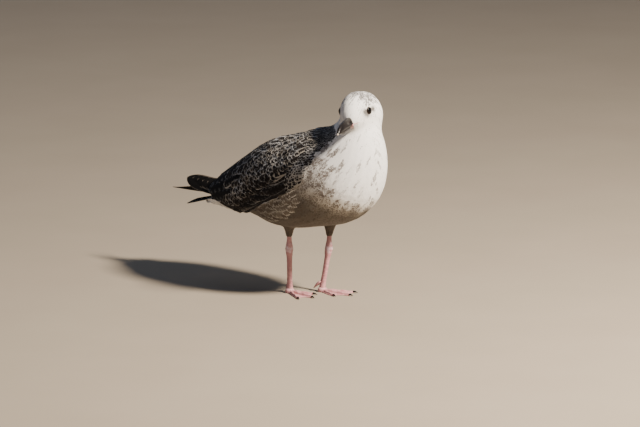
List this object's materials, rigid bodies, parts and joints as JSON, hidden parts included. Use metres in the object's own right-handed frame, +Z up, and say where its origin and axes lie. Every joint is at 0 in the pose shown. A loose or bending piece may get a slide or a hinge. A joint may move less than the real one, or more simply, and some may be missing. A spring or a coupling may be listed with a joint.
{
  "type": "gull",
  "caption": "Life-size young gull standing on webbed feet, wings folded, wing tips crossed over the tail and head turned to its right.",
  "frame": {"origin": "on the ground, under the middle of the bird's box", "axes": "+Z up, -Y the way the body faces, +X the bird's left side; the head is turned towards -X"},
  "size_m": [0.1446, 0.3998, 0.3037],
  "materials": {
    "white_plumage": "soft white feathers with fine brown streaks",
    "streaked_plumage": "soft whitish feathers mottled with brown",
    "mottled_plumage": "dark brown feathers with pale fringes",
    "dark_quills": "blackish brown flight feathers",
    "horn": "smooth dark horn, slightly glossy",
    "eye": "wet dark eye",
    "leg_skin": "scaled pink skin"
  },
  "bodies": {
    "root": {"bill_lower": "horn", "bill_upper": "horn", "claw_left_inner": "horn", "claw_left_middle": "horn", "claw_left_outer": "horn", "claw_right_inner": "horn", "claw_right_middle": "horn", "claw_right_outer": "horn", "eye_left": "eye", "eye_right": "eye", "foot_left": "leg_skin", "foot_right": "leg_skin", "head": "white_plumage", "hind_toe_left": "leg_skin", "hind_toe_right": "leg_skin", "neck": "white_plumage", "primaries_left": "dark_quills", "primaries_right": "dark_quills", "shank_left": "leg_skin", "shank_right": "leg_skin", "tail": "dark_quills", "thigh_left": "streaked_plumage", "thigh_right": "streaked_plumage", "trunk": "streaked_plumage", "wing_left": "mottled_plumage", "wing_right": "mottled_plumage"}
  },
  "joints": []
}
